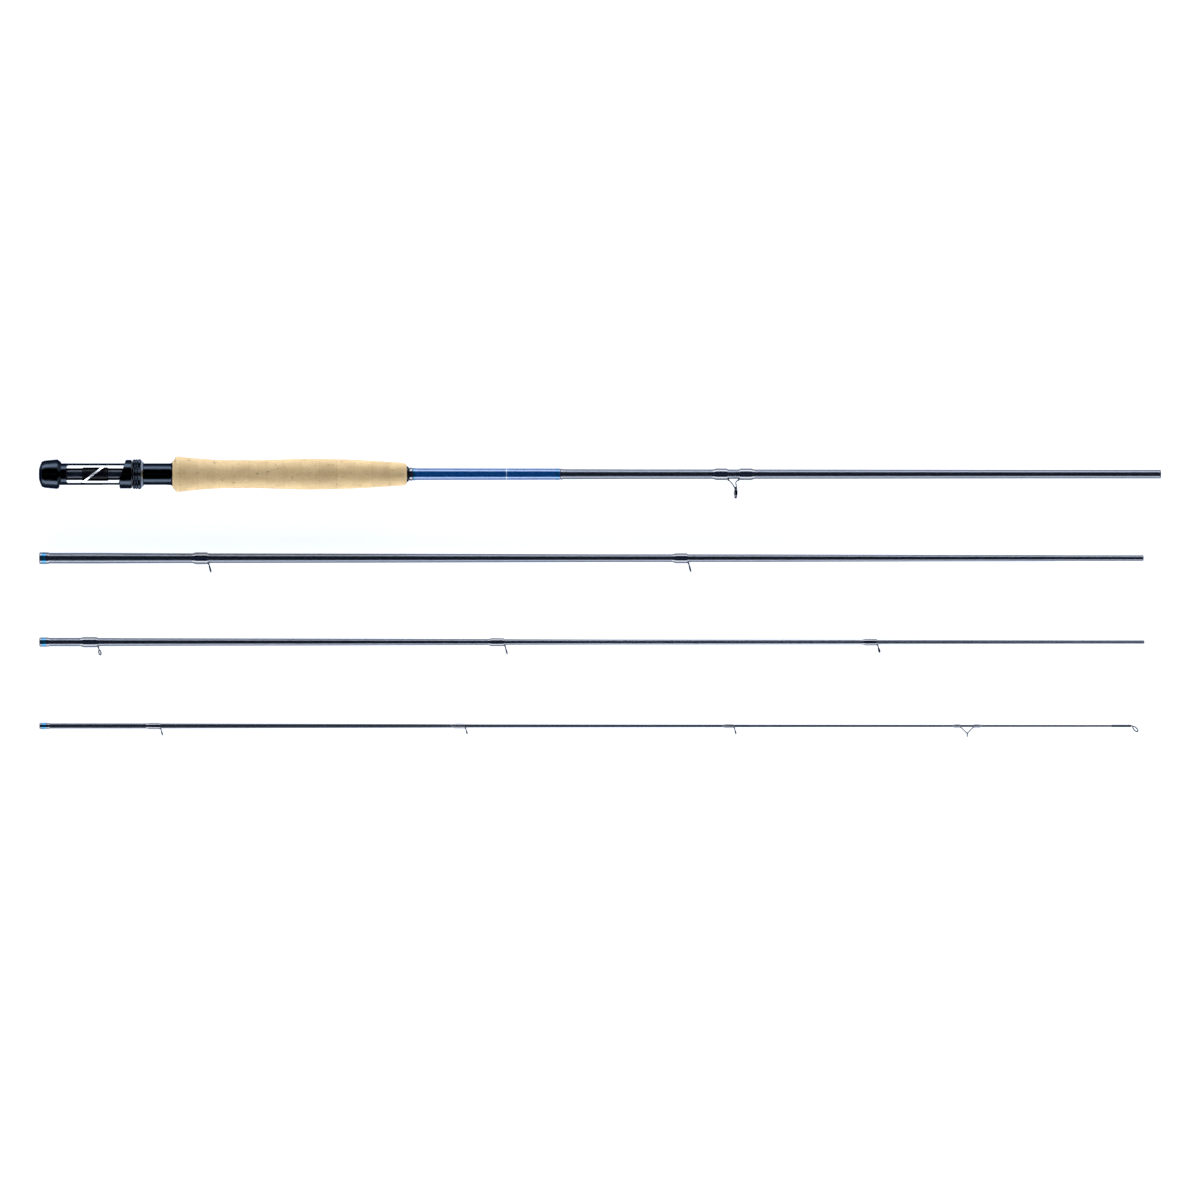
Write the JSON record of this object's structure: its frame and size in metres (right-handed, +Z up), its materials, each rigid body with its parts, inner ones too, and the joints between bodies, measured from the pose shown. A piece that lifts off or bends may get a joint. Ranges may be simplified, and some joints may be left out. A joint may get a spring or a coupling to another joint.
{
  "type": "fly rod",
  "caption": "Sectional fly rod laid out in its sections, with a cork grip, a skeleton reel seat with a screw-locked sliding hood, wire line guides and a tip-top.",
  "frame": {"origin": "centre of the laid-out rod's bounding box, on the flat surface that the sections lie on", "axes": "+X along the sections from butt to tip, +Y across the rows towards the butt section, with the guides pointing to -Y, +Z up"},
  "size_m": [0.8152, 0.2042, 0.0261],
  "materials": {
    "black_anodised": "glossy black anodised aluminium",
    "bright_aluminium": "polished",
    "arbor_resin": "matte black resin",
    "nylon": "matte",
    "cork": "sanded natural cork",
    "graphite": "varnished slate-blue graphite",
    "label_blue": "deep blue foil under clear epoxy",
    "metallic_thread": "metallic blue thread under epoxy",
    "silver_line": "silver line under epoxy",
    "wrap_epoxy": "black thread under clear epoxy",
    "guide_wire": "dark plated wire",
    "guide_ceramic": "polished grey ceramic"
  },
  "bodies": {
    "butt_section": {"butt_cap": "black_anodised", "seat_frame": "black_anodised", "seat_brace": "bright_aluminium", "core_sleeve": "arbor_resin", "rear_arbor": "arbor_resin", "front_arbor": "arbor_resin", "seat_collar": "black_anodised", "cork_rings": "cork", "winding_check": "black_anodised", "butt_blank": "graphite", "label_rear_wrap": "wrap_epoxy", "label_sleeve": "label_blue", "label_rear_band": "metallic_thread", "label_divider": "silver_line", "label_front_band": "metallic_thread", "label_front_wrap": "wrap_epoxy", "stripping_guide": "guide_wire", "stripping_ring": "guide_ceramic", "stripping_rear_wrap": "wrap_epoxy", "stripping_front_wrap": "wrap_epoxy"},
    "sliding_hood": {"sliding_hood": "black_anodised", "hood_washer": "nylon"},
    "lock_ring": {"lock_ring": "black_anodised"},
    "second_section": {"second_blank": "graphite", "second_ferrule_wrap": "wrap_epoxy", "second_trim_band": "metallic_thread", "guide_2": "guide_wire", "guide_2_wrap": "wrap_epoxy", "guide_3": "guide_wire", "guide_3_wrap": "wrap_epoxy"},
    "third_section": {"third_blank": "graphite", "third_ferrule_wrap": "wrap_epoxy", "third_trim_band": "metallic_thread", "guide_4": "guide_wire", "guide_4_wrap": "wrap_epoxy", "guide_5": "guide_wire", "guide_5_wrap": "wrap_epoxy", "guide_6": "guide_wire", "guide_6_wrap": "wrap_epoxy"},
    "tip_section": {"tip_blank": "graphite", "tip_ferrule_wrap": "wrap_epoxy", "tip_trim_band": "metallic_thread", "guide_7": "guide_wire", "guide_7_wrap": "wrap_epoxy", "guide_8": "guide_wire", "guide_8_wrap": "wrap_epoxy", "guide_9": "guide_wire", "guide_9_wrap": "wrap_epoxy", "snake_guide": "guide_wire", "snake_rear_wrap": "wrap_epoxy", "snake_front_wrap": "wrap_epoxy", "tip_tube": "guide_wire", "tip_loop": "guide_wire"}
  },
  "joints": [
    {"name": "hood_slide", "type": "slide", "parent": "butt_section", "child": "sliding_hood", "axis": [1, 0, 0], "range_m": [-0.01, 0.017]},
    {"name": "lock_ring_spin", "type": "hinge", "parent": "sliding_hood", "child": "lock_ring", "pos_m": [-0.33565, 0.08903, 0.01305], "axis": [1, 0, 0], "range_deg": [-3600, 6120]},
    {"name": "second_section_slide", "type": "slide", "parent": "butt_section", "child": "second_section", "axis": [1, 0, 0], "range_m": [0, 0.7493]},
    {"name": "third_section_slide", "type": "slide", "parent": "second_section", "child": "third_section", "axis": [1, 0, 0], "range_m": [0, 0.7459]},
    {"name": "tip_section_slide", "type": "slide", "parent": "third_section", "child": "tip_section", "axis": [1, 0, 0], "range_m": [0, 0.754]}
  ],
  "couplings": [
    {"joint": "hood_slide", "follows": "lock_ring_spin", "m_per_rad": 0.00015915}
  ]
}
